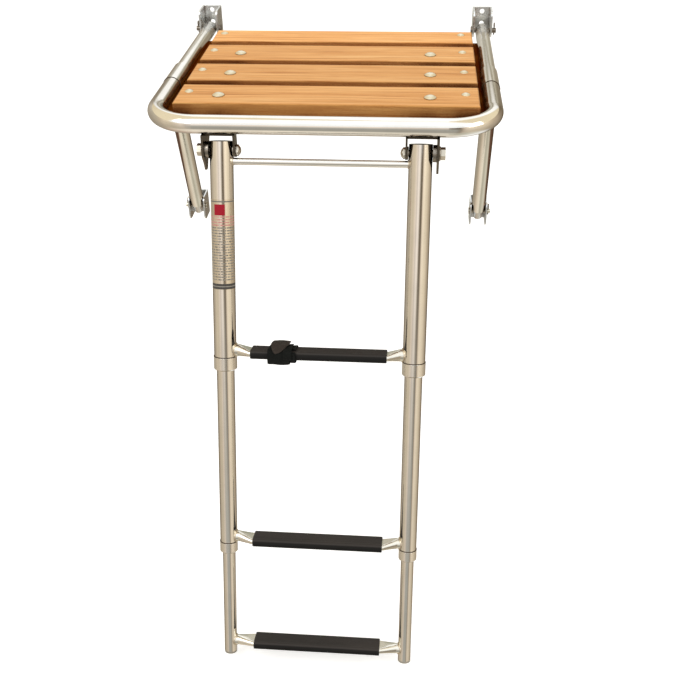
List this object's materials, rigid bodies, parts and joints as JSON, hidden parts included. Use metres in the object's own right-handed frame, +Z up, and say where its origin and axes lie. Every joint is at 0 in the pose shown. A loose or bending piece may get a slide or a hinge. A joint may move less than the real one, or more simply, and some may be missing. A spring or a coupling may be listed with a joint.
{
  "type": "boat boarding ladder platform",
  "caption": "Folding boarding platform: bent stainless tube frame, teak slats, hinged transom brackets and struts, and a telescoping ladder with rubber-gripped steps.",
  "frame": {"origin": "centre of the four upper bolt holes, on the transom plane, midway between the two upper brackets and 14 mm above the platform hinge axis", "axes": "+X across the boat to the right as seen from the water, +Y from the water towards the transom, +Z up; the ladder hangs below and swings out towards -Y"},
  "size_m": [0.5084, 0.7298, 0.7917],
  "materials": {
    "polished_tube": "polished stainless steel tube",
    "bracket_plate": "pressed stainless plate, softly polished",
    "fastener": "stainless fasteners",
    "eye_end": "darker cast stainless eye ends",
    "teak": "oiled teak",
    "grip_rubber": "ribbed black rubber",
    "nylon": "black nylon",
    "webbing": "black woven webbing"
  },
  "bodies": {
    "transom_brackets": {"upper_bracket_left": "bracket_plate", "upper_bracket_right": "bracket_plate", "upper_pins": "fastener", "upper_cotters": "fastener"},
    "platform": {"front_rail": "polished_tube", "side_tube_left": "polished_tube", "side_tube_right": "polished_tube", "sleeve_left": "polished_tube", "sleeve_right": "polished_tube", "rear_eye_left": "eye_end", "rear_eye_right": "eye_end", "cross_bar": "polished_tube", "slat_support_left": "polished_tube", "slat_support_right": "polished_tube", "slat_1": "teak", "slat_2": "teak", "slat_3": "teak", "slat_4": "teak", "slat_screws": "fastener", "bracket_bolts": "fastener", "bracket_nuts": "fastener", "ladder_bracket_left": "bracket_plate", "ladder_bracket_right": "bracket_plate", "ladder_pivot_bolts": "fastener", "ladder_pivot_nuts": "fastener", "ladder_pivot_washers": "fastener", "strut_pins": "fastener", "strut_cotters": "fastener"},
    "ladder_outer": {"outer_tube_left": "polished_tube", "outer_tube_right": "polished_tube", "tube_plugs": "nylon", "cross_rod": "polished_tube", "step_1_tread": "polished_tube", "step_1_grip": "grip_rubber", "retaining_strap": "webbing", "outer_collars": "polished_tube"},
    "ladder_mid": {"mid_tube_left": "polished_tube", "mid_tube_right": "polished_tube", "mid_glides": "nylon", "step_2_tread": "polished_tube", "step_2_grip": "grip_rubber", "mid_collars": "polished_tube"},
    "ladder_inner": {"inner_tube_left": "polished_tube", "inner_tube_right": "polished_tube", "inner_glides": "nylon", "step_3_tread": "polished_tube", "step_3_grip": "grip_rubber", "foot_caps": "nylon"},
    "strut_left": {"strut_tube_left": "polished_tube", "strut_eyes_left": "eye_end"},
    "strut_right": {"strut_tube_right": "polished_tube", "strut_eyes_right": "eye_end"},
    "lower_bracket_left": {"lower_bracket_left": "bracket_plate", "lower_pin_left": "fastener", "lower_cotter_left": "fastener"},
    "lower_bracket_right": {"lower_bracket_right": "bracket_plate", "lower_pin_right": "fastener", "lower_cotter_right": "fastener"}
  },
  "joints": [
    {"name": "platform_hinge", "type": "hinge", "parent": "transom_brackets", "child": "platform", "pos_m": [0, -0.03, -0.014], "axis": [-1, 0, 0], "range_deg": [0, 85]},
    {"name": "ladder_hinge", "type": "hinge", "parent": "platform", "child": "ladder_outer", "pos_m": [0, -0.468, -0.051], "axis": [1, 0, 0], "range_deg": [-19.3, 108]},
    {"name": "mid_slide", "type": "slide", "parent": "ladder_outer", "child": "ladder_mid", "axis": [0, -0.3305, -0.9438], "range_m": [-0.25, 0]},
    {"name": "inner_slide", "type": "slide", "parent": "ladder_mid", "child": "ladder_inner", "axis": [0, -0.3305, -0.9438], "range_m": [-0.138, 0.112]},
    {"name": "strut_left_hinge", "type": "hinge", "parent": "platform", "child": "strut_left", "pos_m": [-0.231, -0.311, -0.04], "axis": [1, 0, 0], "range_deg": [-30, 66]},
    {"name": "strut_right_hinge", "type": "hinge", "parent": "platform", "child": "strut_right", "pos_m": [0.231, -0.311, -0.04], "axis": [1, 0, 0], "range_deg": [-30, 66]},
    {"name": "lower_bracket_left_hinge", "type": "hinge", "parent": "strut_left", "child": "lower_bracket_left", "pos_m": [-0.231, -0.246, -0.242], "axis": [1, 0, 0], "range_deg": [-40, 40]},
    {"name": "lower_bracket_right_hinge", "type": "hinge", "parent": "strut_right", "child": "lower_bracket_right", "pos_m": [0.231, -0.246, -0.242], "axis": [1, 0, 0], "range_deg": [-40, 40]}
  ]
}
